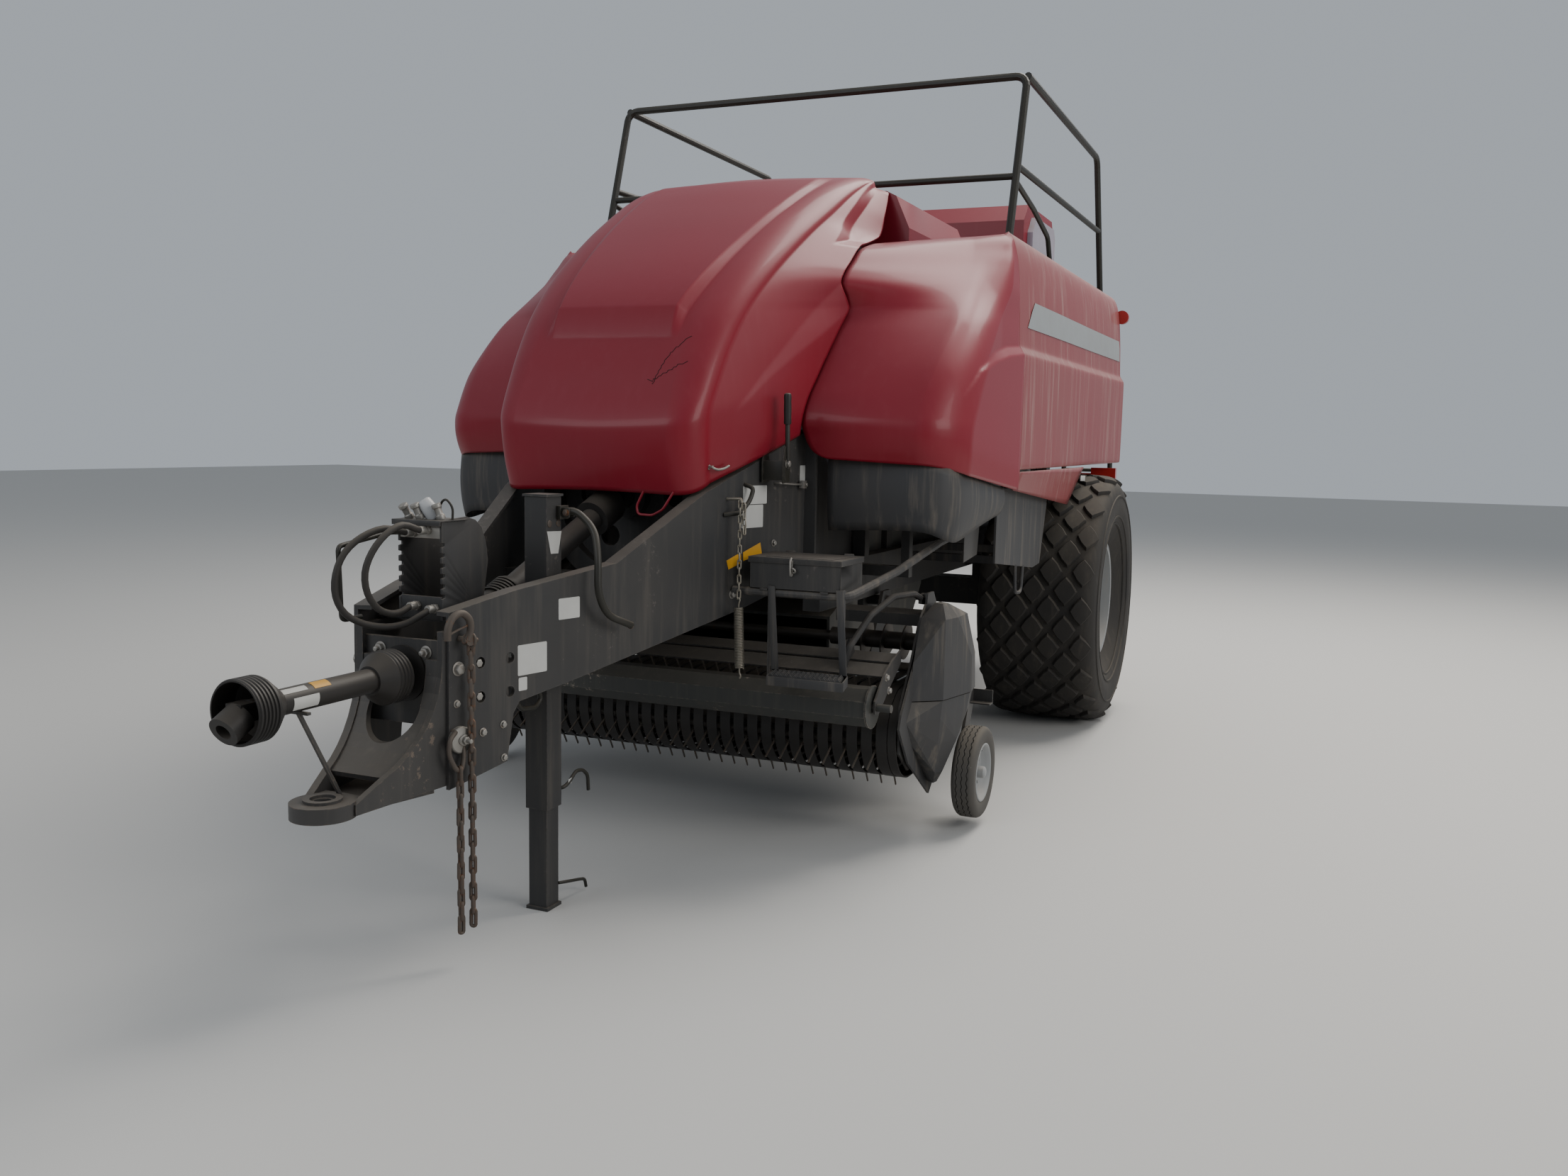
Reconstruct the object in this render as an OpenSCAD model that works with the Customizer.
// Large square baler, parked on its front jack with its pickup just off the ground.
// X is the machine's left, Y runs to its rear and Z is up from the ground.
// Heights are from the ground, and every Y in a module is measured from the axle.

/* [Wheels] */
// Outer diameter of the main tyres, over the tread blocks
tyre_d = 1540; // [1440:10:1560]
// Width of a main tyre
tyre_w = 710; // [640:10:730]
// Distance between the middles of the two main tyres
track = 2290; // [2250:10:2360]
// Diameter of the rim's flange
rim_d = 722; // [680:2:760]
// Outer diameter of a pickup gauge wheel
gauge_d = 414; // [370:2:420]
// Width of a gauge wheel's tyre
gauge_w = 106; // [90:2:116]

/* [Tongue] */
// Distance from the axle forward to the middle of the hitch eye
hitch_reach = 5240; // [5150:10:5350]
// Height of the hitch eye's middle
hitch_h = 600; // [560:5:640]
// Hole in the hitch eye
eye_d = 54; // [50:1:60]
// Distance between the tongue plates' outer faces at the hitch
tongue_w = 340; // [320:5:380]
// How far each tongue plate spreads, sideways for each metre rearward
tongue_flare = 227; // [200:1:235]
// Thickness of the tongue plates
tongue_t = 14; // [10:1:18]

/* [Driveline] */
// Length of the front shaft, from its joint to the tractor's end
pto_len = 690; // [620:10:740]
// Outer diameter of the shaft guards
guard_d = 78; // [66:2:88]
// Diameter of the flywheel
flywheel_d = 800; // [700:10:840]
// Width of the flywheel's rim
flywheel_w = 120; // [90:5:140]

/* [Bale chamber] */
// Width of the bale
bale_w = 1200; // [1160:5:1220]
// Height of the bale
bale_h = 880; // [840:10:900]
// Height of the chamber's floor
floor_h = 1260; // [1240:5:1280]
// Length of the chamber behind the axle
chamber_rear = 1950; // [1850:10:2100]
// Thickness of the chamber's walls
chamber_t = 16; // [10:1:20]
// Length of the chute that the bales leave by
chute_len = 980; // [850:10:1050]

/* [Panels] */
// Distance from the machine's middle to the side doors' outer face
body_half = 1325; // [1310:5:1360]
// Height of the side doors' upper edge
body_top = 2730; // [2700:10:2780]
// Thickness of the moulded panels
skin = 12; // [8:1:16]
// Distance from the axle forward to the seam between shield and side door
seam_reach = 1970; // [1940:5:2000]
// Distance from the axle back to the side doors' rear edge
door_rear = 1050; // [950:10:1150]
// Height of the hood's highest point
hood_top = 2975; // [2965:5:3000]

/* [Guard rails] */
// Outer diameter of the guard rails
rail_d = 40; // [34:1:46]
// Height of the top rail
rail_h = 3580; // [3450:10:3700]
// Distance from the machine's middle to the rails
rail_half = 1160; // [1145:5:1165]

/* [Pickup] */
// Width over the pickup's bands
pickup_w = 2180; // [2050:66:2250]
// Outer radius of the bands
band_r = 200; // [185:5:215]
// Distance between neighbouring bands
band_pitch = 66; // [60:1:72]
// Width of one band
band_w = 48; // [40:1:50]
// Radius that the tines' tips sweep
tine_r = 300; // [280:5:305]
// Outer diameter of the windguard's roller
roller_d = 168; // [150:2:172]

/* [Jack] */
// Side of the jack's square outer tube
jack_side = 92; // [86:1:100]
// Distance from the machine's middle to the jack
jack_x = 150; // [140:5:160]

/* [Hidden] */

// Running gap between a pin and its bore, and the gap at which a piece seats on its carrier
run = 0.05;
seat = 0.3;
axle_z = tyre_d / 2;
wheel_x = track / 2;
chamber_half = bale_w / 2;
chamber_top = floor_h + bale_h;
rail_x = chamber_half + chamber_t;

// The joint between the two shafts, and the flywheel
pto_y = -4900;
pto_z = 955;
fly_y = -3400;
fly_z = 1480;
front_reach = -pto_y + pto_len + 30;
rear_reach = chamber_rear + chute_len + 60;
// The row's origin lies midway between the shaft's tip and the chute's end
axle_y = (front_reach - rear_reach) / 2;

// Axes on the pickup
reel_y = -2950;
reel_z = 490;
lift_y = -2200;
lift_z = 950;
roller_y = -3340;
roller_z = 665;
wind_y = -2740;
wind_z = 1040;
auger_y = -2560;
auger_z = 815;
gauge_y = -2577;
gauge_z = gauge_d / 2 + 43;
gauge_x = 1306;
band_count = floor((pickup_w - band_w) / band_pitch) + 1;
reel_half = (band_count - 1) * band_pitch / 2;

// Half the distance between the tongue plates' outer faces, this far ahead of the axle
tongue_front = 4970;
tongue_back = 2990;
function tongue_x(ahead) = tongue_w / 2 + (tongue_front - ahead) * tongue_flare / 1000;

function unit(v) = v / norm(v);
function lerp(a, b, t) = a + (b - a) * t;

// A straight round bar between two points
module bar(a, b, r) {
  d = b - a;
  translate(a)
    rotate([0, acos(d.z / norm(d)), atan2(d.y, d.x)])
      cylinder(h = norm(d), r = r, $fn = 40);
}

// How far a bend of radius r eats into the straights on either side of point i
function bend_cut(pts, i, r) =
  (i == 0 || i == len(pts) - 1) ? 0 :
  let(u = unit(pts[i - 1] - pts[i]), v = unit(pts[i + 1] - pts[i])) r / tan(acos(u * v) / 2);

// The path through pts with each inner corner rounded to the radius bend, in steps arcs
function round_path(pts, bend, steps) =
  concat([pts[0]],
    [for (i = [1 : len(pts) - 2])
      let(
        u = unit(pts[i - 1] - pts[i]),
        v = unit(pts[i + 1] - pts[i]),
        half = acos(u * v) / 2,
        middle = pts[i] + unit(u + v) * bend / sin(half),
        start = unit(pts[i] + u * bend_cut(pts, i, bend) - middle))
      for (k = [0 : steps])
        let(a = (180 - 2 * half) * k / steps) middle + bend * (start * cos(a) - u * sin(a))],
    [pts[len(pts) - 1]]);

function tangent(p, i) =
  let(n = len(p) - 1)
  unit((i < n ? unit(p[i + 1] - p[i]) : [0, 0, 0]) + (i > 0 ? unit(p[i] - p[i - 1]) : [0, 0, 0]));

// A smooth path through all the points of a list, in steps parts between neighbours
function smooth_path(pts, steps) =
  let(n = len(pts) - 1)
  concat([for (i = [0 : n - 1]) for (k = [0 : steps - 1])
      let(a = pts[max(i - 1, 0)], b = pts[i], c = pts[i + 1], d = pts[min(i + 2, n)], t = k / steps)
      0.5 * (2 * b + (c - a) * t + (2 * a - 5 * b + 4 * c - d) * t * t + (3 * b - a - 3 * c + d) * t * t * t)],
    [pts[n]]);

function across(v) = unit(cross(v, abs(v.z) < 0.8 ? [0, 0, 1] : [1, 0, 0]));

// A round tube swept along the points p, its rings carried along without twist
module sweep(p, r, sides = 10) {
  n = len(p);
  normals = [for (i = 0, q = across(tangent(p, 0)); i < n;
    i = i + 1, q = i < n ? unit(q - (q * tangent(p, i)) * tangent(p, i)) : q) q];
  rings = [for (i = [0 : n - 1]) for (k = [0 : sides - 1])
    p[i] + r * (normals[i] * cos(k * 360 / sides) + cross(tangent(p, i), normals[i]) * sin(k * 360 / sides))];
  walls = [for (i = [0 : n - 2]) for (k = [0 : sides - 1]) for (f = [0, 1])
    let(a = i * sides + k, b = i * sides + (k + 1) % sides)
    f == 0 ? [a, b + sides, b] : [a, a + sides, b + sides]];
  polyhedron(points = rings, faces = concat(walls,
    [[for (k = [0 : sides - 1]) k]],
    [[for (k = [sides - 1 : -1 : 0]) (n - 1) * sides + k]]), convexity = 6);
}

// A bent tube through points, each inner corner rounded to the radius bend
module pipe(pts, r, bend) {
  sweep(round_path(pts, bend, 5), r);
}

// A plate whose outline is given as Y and Z, from x towards +X
module side_plate(pts, x, t) {
  translate([x, 0, 0]) rotate([90, 0, 90]) linear_extrude(t) polygon(pts);
}

// A plate whose outline is given as X and Z, from y towards +Y
module cross_plate(pts, y, t) {
  translate([0, y + t, 0]) rotate([90, 0, 0]) linear_extrude(t) polygon(pts);
}

module box(a, b) {
  translate(a) cube(b - a);
}

module both_sides() {
  children();
  mirror([1, 0, 0]) children();
}

// A skin of even thickness behind a net of points: rows of equal length, seen from outside
// with the rows counted upward and the points of a row counted to the right
function net_normal(g, i, j) =
  let(
    n = len(g) - 1,
    m = len(g[0]) - 1,
    up = g[min(i + 1, n)][j] - g[max(i - 1, 0)][j],
    right = g[i][min(j + 1, m)] - g[i][max(j - 1, 0)])
  unit(cross(right, up));

module net_skin(g, t) {
  n = len(g);
  m = len(g[0]);
  outer = [for (row = g) for (p = row) p];
  inner = [for (i = [0 : n - 1]) for (j = [0 : m - 1]) g[i][j] - t * net_normal(g, i, j)];
  k = n * m;
  faces = concat(
    [for (i = [0 : n - 2]) for (j = [0 : m - 2]) for (f = [0, 1])
      f == 0 ? [i * m + j, (i + 1) * m + j + 1, i * m + j + 1]
             : [i * m + j, (i + 1) * m + j, (i + 1) * m + j + 1]],
    [for (i = [0 : n - 2]) for (j = [0 : m - 2]) for (f = [0, 1])
      f == 0 ? [k + i * m + j, k + i * m + j + 1, k + (i + 1) * m + j + 1]
             : [k + i * m + j, k + (i + 1) * m + j + 1, k + (i + 1) * m + j]],
    [for (j = [0 : m - 2]) for (f = [0, 1])
      f == 0 ? [j, j + 1, k + j + 1] : [j, k + j + 1, k + j]],
    [for (j = [0 : m - 2]) let(a = (n - 1) * m + j) for (f = [0, 1])
      f == 0 ? [a, k + a + 1, a + 1] : [a, k + a, k + a + 1]],
    [for (i = [0 : n - 2]) let(a = i * m, b = (i + 1) * m) for (f = [0, 1])
      f == 0 ? [a, k + b, b] : [a, k + a, k + b]],
    [for (i = [0 : n - 2]) let(a = i * m + m - 1, b = (i + 1) * m + m - 1) for (f = [0, 1])
      f == 0 ? [a, b, k + b] : [a, k + b, k + a]]);
  polyhedron(points = concat(outer, inner), faces = faces, convexity = 6);
}

// A smooth run of n points through a list, as a chain of quadratic curves with soft corners
function soft(a, b, c, t) = lerp(lerp(a, b, t), lerp(b, c, t), t);

// A ring link of square wire in the plane of X and Z, with half rounds at its ends
module link(long, wide, r) {
  path = [for (a = [0 : 45 : 180]) [wide / 2 * cos(a), 0, long / 2 - wide / 2 + wide / 2 * sin(a)],
    for (a = [180 : 45 : 360]) [wide / 2 * cos(a), 0, -long / 2 + wide / 2 + wide / 2 * sin(a)]];
  n = len(path);
  function out_at(i) =
    let(d = unit(path[(i + 1) % n] - path[(i + n - 1) % n])) [d.z, 0, -d.x];
  rings = [for (i = [0 : n - 1]) for (k = [0 : 3])
    path[i] + r * (out_at(i) * cos(45 + 90 * k) + [0, 1, 0] * sin(45 + 90 * k))];
  polyhedron(points = rings, convexity = 6, faces =
    [for (i = [0 : n - 1]) for (k = [0 : 3]) for (f = [0, 1])
      let(a = i * 4 + k, b = i * 4 + (k + 1) % 4, c = ((i + 1) % n) * 4 + k, d = ((i + 1) % n) * 4 + (k + 1) % 4)
      f == 0 ? [a, d, b] : [a, c, d]]);
}

// Two tall plates that spread from the hitch to the frame. Outlines on them are given as
// distances behind the axle and heights, and are laid along the slanted plate.
plate_turn = atan(tongue_flare / 1000);
tongue_top = [[-4876, 1166], [-4600, 1215], [-4130, 1272], [-3640, 1516], [-2970, 1765]];
tongue_low = [[-2970, 1135], [-3400, 1035], [-4300, 880], [-4590, 836], [-4616, 800],
  [-4645, 640], [-4884, 592]];

function along_plate(pts) = [for (p = pts) [(p.x + tongue_front) / cos(plate_turn), p.y]];

// The plate's frame: children are drawn with Z outward, from the plate's outer face
module on_tongue_plate() {
  translate([tongue_w / 2, -tongue_front, 0]) rotate([0, 0, 90 - plate_turn]) rotate([90, 0, 0])
    children();
}

module tongue_plates() {
  fold = 62;
  color("#3c3f41") {
    both_sides()
      difference() {
       on_tongue_plate()
        difference() {
          union() {
            translate([0, 0, -tongue_t]) linear_extrude(tongue_t) polygon(along_plate(concat(tongue_top, tongue_low)));
            translate([0, 0, -fold]) linear_extrude(fold - 1)
              polygon(along_plate(concat(tongue_top,
                [for (i = [len(tongue_top) - 1 : -1 : 0]) tongue_top[i] - [0, tongue_t]])));
            translate([0, 0, -fold]) linear_extrude(fold - 1)
              polygon(along_plate([[-2970, 1135], [-3400, 1035], [-4300, 880], [-4300, 890], [-3400, 1045], [-2970, 1145]]));
          }
          // Bolt holes behind the head, in two rows
          for (y = [-4753, -4630]) for (z = [876, 990])
            translate([(y + tongue_front) / cos(plate_turn), z, -tongue_t - 5]) cylinder(h = tongue_t + 10, r = 19, $fn = 32);
        }
       box([0, -2990, 500], [1200, -2800, 2000]);
      }
    // Cross members that tie the two sides together
    tongue_cross(4440, 100, 880, 940);
    tongue_cross(3640, 80, 1090, 1170);
  }
}

module tongue_cross(ahead, deep, z0, z1) {
  w = tongue_x(ahead + deep / 2) - tongue_t / 2;
  box([-w, -ahead - deep / 2, z0], [w, -ahead + deep / 2, z1]);
}

module tube_ring(r0, r1, h) {
  difference() {
    cylinder(h = h, r = r1, $fn = 64);
    translate([0, 0, -1]) cylinder(h = h + 2, r = r0, $fn = 64);
  }
}

// The head: two cheeks inside the tongue plates, swept down by an arc to the ring plate
head_arc_r = 365;
head_top = 1010;
head_front = -4893;
function head_arc(r, a0, a1) =
  [for (k = [0 : 8]) let(a = lerp(a0, a1, k / 8))
    [head_front - head_arc_r + r * cos(a), head_top - r * sin(a)]];

// The four-sided outline between the tongue plates from one distance ahead to another, a
// little short of the plates or sunk into the cheeks that line them
function cheek_span(a, b, sink) =
  [for (p = [[-1, a], [1, a], [1, b], [-1, b]])
    [p.x * (tongue_x(p.y) - (tongue_t + seat + sink) / cos(plate_turn) - 0.1), -p.y]];

module hitch_head() {
  cheek_t = 24;
  ring_low = hitch_h - 24;
  ring_high = hitch_h + 24;
  prop_top = pto_z - guard_d / 2 - seat;
  outline = concat([[head_front, 1105]], head_arc(head_arc_r, 0, 66),
    [[-5215, ring_high - 8], [-5215, ring_low + 6], [-4884, 604], [-4650, 648], [-4625, 800],
     [-4625, 1085], [-4700, 1105]]);
  color("#55504b") {
    difference() {
      union() {
        both_sides()
          on_tongue_plate()
            translate([0, 0, -tongue_t - seat - cheek_t]) linear_extrude(cheek_t) polygon(along_plate(outline));
        // Sloped plate between the cheeks, cut by an arched window
        intersection() {
          difference() {
            side_plate(concat(head_arc(head_arc_r + 12, 0, 64), head_arc(head_arc_r + 30, 64, 0)), -200, 400);
            box([-102, -5200, 850], [102, -4800, 1100]);
            translate([0, -4800, 850]) rotate([90, 0, 0]) cylinder(h = 400, r = 102, $fn = 48);
          }
          linear_extrude(1200) polygon(cheek_span(5230, 4861, cheek_t / 2));
        }
        linear_extrude_between(ring_low + 10, ring_low + 28) polygon(cheek_span(5195, 4915, cheek_t / 2));
        translate([0, -hitch_reach, ring_low]) cylinder(h = ring_high - ring_low, r = 98, $fn = 64);
        translate([0, -hitch_reach, ring_high - 1]) tube_ring(38, 58, 10);
        box([-80, -hitch_reach, ring_low + 2], [80, -5140, ring_high - 2]);
        // Plate that the bearing bolts to
        difference() {
          linear_extrude_between(790, 1070) polygon(cheek_span(4865, 4850, cheek_t / 2));
          translate([0, -4800, pto_z]) rotate([90, 0, 0]) cylinder(h = 100, r = 60, $fn = 48);
        }
      }
      translate([0, -hitch_reach, ring_low - 20]) cylinder(h = 100, r = eye_d / 2, $fn = 64);
    }
    // Prop that the parked front shaft lies on
    side_plate([[-5170, ring_high - 5], [-5157, ring_high - 5], [-5322, prop_top - 6], [-5335, prop_top - 6]], -5, 10);
    box([-40, -5336, prop_top - 8], [40, -5321, prop_top]);
  }
}

module linear_extrude_between(z0, z1) {
  translate([0, 0, z0]) linear_extrude(z1 - z0) children();
}

// The bearing where the two shafts meet, with the cross pin of the front joint
module driveline_bearing() {
  plate_y = -4865 - seat;
  color("#2b2b2b")
    translate([0, plate_y, pto_z]) rotate([90, 0, 0]) {
      cylinder(h = 8, r = 92, $fn = 64);
      translate([0, 0, 6]) cylinder(h = 42, r = 18, $fn = 48);
      translate([0, 0, -62]) cylinder(h = 70, r = 32, $fn = 48);
      translate([-40, 0, plate_y - pto_y]) rotate([0, 90, 0]) cylinder(h = 80, r = 12, $fn = 48);
    }
}

// One shaft cone, ribbed round its wide end and open there
module shaft_cone(r0, r1, long, ribs) {
  pitch = long * 0.55 / ribs;
  rotate_extrude($fn = 64)
    polygon(concat([[r0, 0], [r1, long * 0.42]],
      [for (k = [0 : ribs - 1]) for (p = [[0, 0.1], [4, 0.25], [4, 0.6], [0, 0.75]])
        [r1 + p.x, long * 0.45 + (k + p.y) * pitch]],
      [[r1, long], [r1 - 5, long], [r1 - 5, long * 0.42], [r0 - 6, 8], [r0 - 20, 8], [r0 - 20, 0]]));
}

module pto_shaft() {
  color("#1c1c1c")
    translate([0, pto_y, pto_z]) rotate([90, 0, 0]) {
      // Ears on the cross pin
      difference() {
        both_sides() translate([24, -20, -14]) cube([12, 40, 84]);
        translate([-60, 0, 0]) rotate([0, 90, 0]) cylinder(h = 120, r = 12 + run, $fn = 48);
      }
      translate([0, 0, 60]) cylinder(h = 40, r = 38, $fn = 48);
      translate([0, 0, 90]) cylinder(h = pto_len - 230, r = guard_d / 2, $fn = 48);
      translate([0, 0, 130]) mirror([0, 0, 1]) shaft_cone(guard_d / 2 + 8, 84, 115, 4);
      translate([0, 0, pto_len - 170]) shaft_cone(guard_d / 2 + 8, 92, 145, 6);
      translate([0, 0, pto_len - 145]) cylinder(h = 70, r = 30, $fn = 40);
      translate([-28, -26, pto_len - 90]) cube([56, 52, 70]);
      // Yoke for the tractor's stub, hanging down at the joint
      translate([0, -12, pto_len - 45]) rotate([28, 0, 0]) tube_ring(24, 46, 70);
    }
}

module rear_shaft() {
  a = [0, -4785, pto_z + 4];
  b = [0, fly_y - flywheel_w / 2 - 90, fly_z - 14];
  color("#1c1c1c") {
    bar(a, b, guard_d / 2 + 6);
    bar([0, -4803, pto_z], [0, -4770, pto_z], 34);
    for (t = [0.33 : 0.012 : 0.4]) bar(lerp(a, b, t), lerp(a, b, t + 0.006), 66);
    bar(lerp(a, b, 0.3), lerp(a, b, 0.41), 58);
    bar(lerp(a, b, 0.86), lerp(a, b, 0.97), 74);
    bar([0, b.y + 2, fly_z], [0, fly_y - flywheel_w / 2 - seat, fly_z], 50);
  }
}

module flywheel() {
  color("#3a3a3a")
    translate([0, fly_y + flywheel_w / 2, fly_z]) rotate([90, 0, 0])
      difference() {
        union() {
          tube_ring(flywheel_d / 2 - 80, flywheel_d / 2, flywheel_w);
          translate([0, 0, 40]) cylinder(h = 30, r = flywheel_d / 2 - 60, $fn = 64);
          cylinder(h = flywheel_w, r = 95, $fn = 64);
        }
        translate([0, 0, -1]) cylinder(h = flywheel_w + 2, r = 40 + run, $fn = 64);
        for (a = [0 : 60 : 359]) rotate(a) translate([200, 0, 0]) cylinder(h = flywheel_w, r = 45, $fn = 32);
      }
}

module gearbox() {
  color("#4a4d4f") {
    box([-330, -3050, 1200], [330, -2440, 2050]);
    translate([0, -3049, fly_z]) rotate([90, 0, 0])
      cylinder(h = -fly_y + flywheel_w / 2 - 3049, r = 40, $fn = 48);
    translate([0, -3049, fly_z]) rotate([90, 0, 0]) cylinder(h = 180, r = 150, $fn = 48);
    // Feet on the front cross member
    both_sides() box([180, -2620, 1180 + seat], [300, -2500, 1201]);
  }
}

rail_low = 980;
rail_high = 1180;
rail_wide = 80;
upright_ys = [-1900, -800, 900, 1700];

// Two long rails with cross members, which carry the chamber, the tongue and the axle. The
// welded members stand a seat apart, so each is a simple solid.
module main_frame() {
  front = -2989;
  rail_in = rail_x - seat;
  color("#3c3f41") {
    both_sides() {
      box([rail_x, front + 16 + seat, rail_low], [rail_x + rail_wide, chamber_rear - 100, rail_high]);
      // Front plate against the tongue plates' rear edges, with its gusset
      box([tongue_x(tongue_back) - 60, front, 1120], [rail_x + rail_wide - 24, front + 16, 1770]);
      side_plate([[front + 15, rail_high + seat], [-2440, rail_high + seat], [-2440, 1400], [front + 15, 1770]],
        rail_x + 10, 12);
      for (y = upright_ys) box([rail_x, y - 40, rail_high + seat], [rail_x + 30, y + 40, chamber_top]);
      box([rail_x, lift_y - 70, lift_z - 60], [rail_x + 30, lift_y + 70, rail_low - seat]);
      translate([rail_x + 20, lift_y, lift_z]) rotate([0, 90, 0]) cylinder(h = 120, r = 25, $fn = 48);
      // Struts that carry the wheel flaps and skirts
      box([rail_x + rail_wide + seat, -2480, 1100], [940, -2430, 1150]);
      box([900, -2480, 1150 + seat], [940, -2430, 1480]);
    }
    for (y = [-2560, -780, 900, 1700]) box([-rail_in, y - 50, rail_high - 110], [rail_in, y + 50, rail_high]);
  }
}

module axle_beam() {
  top = axle_z + 85;
  color("#3c3f41") {
    box([-rail_x - 110, -85, axle_z - 85], [rail_x + 110, 85, top]);
    both_sides() {
      box([rail_x + 5, -160, top + seat], [rail_x + rail_wide - 5, 160, rail_low - seat]);
      translate([rail_x + 100, 0, axle_z]) rotate([0, 90, 0])
        cylinder(h = wheel_x - rail_x - 40, r = 60, $fn = 48);
    }
  }
}

bead_half = 255;

module tyre_ring(od, w, bead_r, flange_r) {
  h = w / 2;
  r = od / 2;
  s = r - bead_r;
  half = [[bead_r, bead_half], [flange_r, bead_half], [bead_r + 0.36 * s, h * 0.95],
    [r - 0.4 * s, h], [r - 0.16 * s, h * 0.97], [r - 0.05 * s, h * 0.88], [r, h * 0.66]];
  in = [[r - 0.14 * s, h * 0.66], [r - 0.4 * s, h * 0.86], [bead_r + 0.3 * s, h * 0.82],
    [bead_r, bead_half - 40]];
  rotate_extrude($fn = 96)
    polygon(concat(half, [for (i = [len(half) - 1 : -1 : 0]) [half[i].x, -half[i].y]],
      [for (i = [len(in) - 1 : -1 : 0]) [in[i].x, -in[i].y]], in));
}

module tyre() {
  color("#232323")
    translate([wheel_x, 0, axle_z]) rotate([0, 90, 0])
      tyre_ring(tyre_d, tyre_w, rim_d / 2 - 25, rim_d / 2 + 6);
}

// Deep dished rim: a barrel with flanges, a coned disc and a hub that turns on the stub axle
module rim() {
  h = bead_half;
  f = rim_d / 2;
  color("#9a9c9b")
    translate([wheel_x, 0, axle_z]) rotate([0, 90, 0])
      rotate_extrude($fn = 96)
        polygon([[f - 26, -h - 14], [f, -h - 14], [f, -h - seat], [f - 25 - seat, -h - seat],
          [f - 25 - seat, -h + 60], [f - 50, -h + 80], [f - 50, h - 80], [f - 25 - seat, h - 60],
          [f - 25 - seat, h + seat], [f, h + seat], [f, h + 14], [f - 36, h + 14], [f - 40, h - 60],
          [f - 62, h - 90], [f - 62, 0], [f - 80, -40], [190, -100], [140, -100], [130, 10],
          [60 + run, 10], [60 + run, -170], [130, -170], [140, -125], [210, -125], [f - 62, -60],
          [f - 62, -h + 90], [f - 40, -h + 70]]);
}

module tyre_left() tyre();
module tyre_right() mirror([1, 0, 0]) tyre();
module rim_left() rim();
module rim_right() mirror([1, 0, 0]) rim();

chamber_front = -2300;
duct_half = chamber_half - 70;

// The tunnel that the bale is pressed in, open at both ends, with the feed opening in its
// floor. Walls, roof and floor are welded plates that stand a seat apart.
module bale_chamber() {
  low = floor_h - chamber_t;
  high = chamber_top + chamber_t;
  in = chamber_half - seat;
  feed_x = duct_half - 14;
  feed_front = -1920;
  feed_rear = -930;
  color("#50534f") {
    box([-in, chamber_front, chamber_top], [in, chamber_rear, high]);
    for (y = [-1500 : 600 : 1000]) box([-rail_x, y - 30, high - 1], [rail_x, y + 30, high + 60]);
    box([-in, chamber_front, low], [in, feed_front, floor_h]);
    box([-in, feed_rear, low], [in, chamber_rear, floor_h]);
    both_sides() {
      box([feed_x, feed_front + seat, low], [in, feed_rear - seat, floor_h]);
      box([chamber_half, chamber_front, low], [rail_x, chamber_rear, high - 1 - seat]);
      // Beam under the floor, with the ear and pin of the chute
      box([chamber_half - 60, chamber_front, rail_high + seat], [rail_x - seat, chamber_rear, low - seat]);
      side_plate([[chamber_rear - 60, low - seat], [chamber_rear, low - seat],
        [chute_y + 40, chute_z + 30], [chute_y + 40, chute_z - 35], [chute_y - 40, chute_z - 35],
        [chamber_rear - 60, rail_high + seat]], chamber_half + 1, 14);
      translate([chamber_half - 45, chute_y, chute_z]) rotate([0, 90, 0]) cylinder(h = 50, r = 14, $fn = 40);
    }
  }
}

// Curved duct that takes the crop from the pickup up to the chamber's floor: two side plates
// with bent strips between them
module feed_duct() {
  top = floor_h - chamber_t - seat;
  under = [[[-2420, 560], [-2420, 574]], [[-1500, 560], [-1503, 574]], [[-1150, 700], [-1160, 712]],
    [[-960, 900], [-973, 908]], [[-900, top], [-914, top]]];
  over = [[[-2420, 880], [-2420, 866]], [[-2060, 1010], [-2048, 997]], [[-1950, top], [-1936, top]]];
  color("#46494a") {
    both_sides()
      side_plate([[-2420, 560], [-1500, 560], [-1150, 700], [-960, 900], [-900, top], [-1950, top],
        [-2060, 1010], [-2420, 880]], duct_half - 14, 14);
    for (wall = [under, over]) for (i = [0 : len(wall) - 2])
      side_plate([lerp(wall[i][0], wall[i + 1][0], 0.001), lerp(wall[i][0], wall[i + 1][0], 0.999),
        lerp(wall[i][1], wall[i + 1][1], 0.999), lerp(wall[i][1], wall[i + 1][1], 0.001)],
        -duct_half + 14 + seat, 2 * (duct_half - 14 - seat));
  }
}

// Cross beams and rams that squeeze the chamber's rear end
module tension_frame() {
  y = 1340;
  arm_x = rail_x + rail_wide + 10;
  color("#3c3f41") {
    box([-arm_x - 60, y - 60, chamber_top + 90], [arm_x + 60, y + 60, chamber_top + 200]);
    both_sides() {
      box([arm_x, y - 60, 1000], [arm_x + 60, y + 60, chamber_top + 91]);
      bar([rail_x + 45, y, chamber_top - 290], [rail_x + 45, y, chamber_top + 100], 38);
      bar([rail_x + 45, y, rail_high + seat], [rail_x + 45, y, chamber_top - 280], 26);
      box([rail_x + seat, y - 50, chamber_top - 120], [rail_x + 30, y + 50, chamber_top + 91]);
    }
  }
}

chute_y = chamber_rear + 30;
chute_z = floor_h - 75;

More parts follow.
